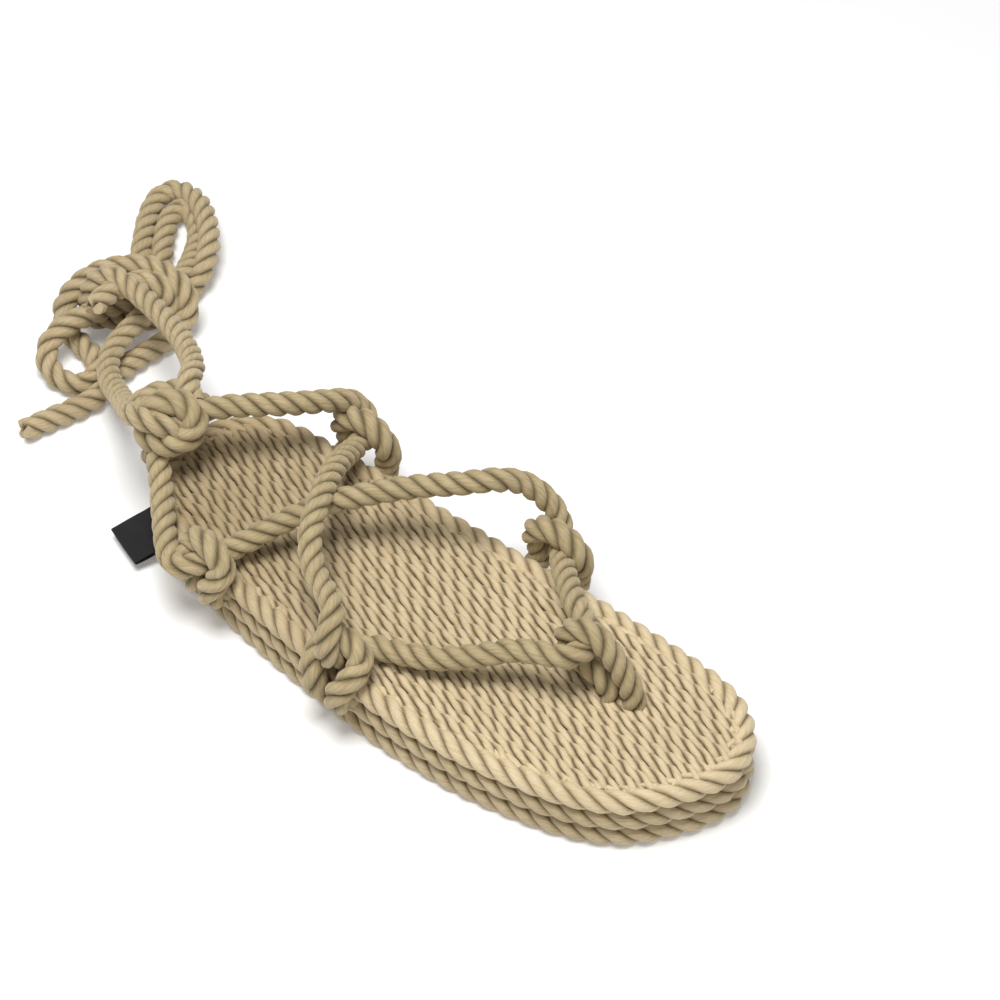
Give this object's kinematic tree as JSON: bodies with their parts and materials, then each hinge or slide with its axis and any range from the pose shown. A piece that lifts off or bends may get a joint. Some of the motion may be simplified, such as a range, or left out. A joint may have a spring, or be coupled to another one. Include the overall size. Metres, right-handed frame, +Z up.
{
  "type": "rope sandal",
  "caption": "Flat sandal of twisted rope: layered rope sole, one rope laced through edge loops and a toe loop, a heel knot and two long ties.",
  "frame": {"origin": "on the underside of the sole, in the middle of its length, where the lengthwise axis of the foot meets the floor", "axes": "+Y to the toe, +Z up, +X to the wearer's right, which is the outer side of this right shoe"},
  "size_m": [0.1869, 0.3676, 0.0644],
  "materials": {
    "rope": "twisted three-strand rope, tan, matt",
    "rope_light": "twisted three-strand rope, light tan, matt",
    "rope_dark": "twisted three-strand rope, trodden, matt",
    "tab_black": "woven black ribbon, blank"
  },
  "bodies": {
    "root": {"sole_top_layer": "rope", "sole_middle_layer": "rope", "sole_bottom_layer": "rope_dark", "side_tab": "tab_black", "loop_front_lateral": "rope_light", "loop_front_medial": "rope_light", "loop_rear_lateral": "rope_light", "loop_rear_medial": "rope_light", "thong_loop": "rope_light", "heel_loop": "rope_light", "upper_straps": "rope", "heel_knot": "rope_light", "tie_one": "rope_light", "tie_two": "rope_light", "tie_end": "rope_light", "tie_ring": "rope_light", "tie_hank": "rope_light"}
  },
  "joints": []
}
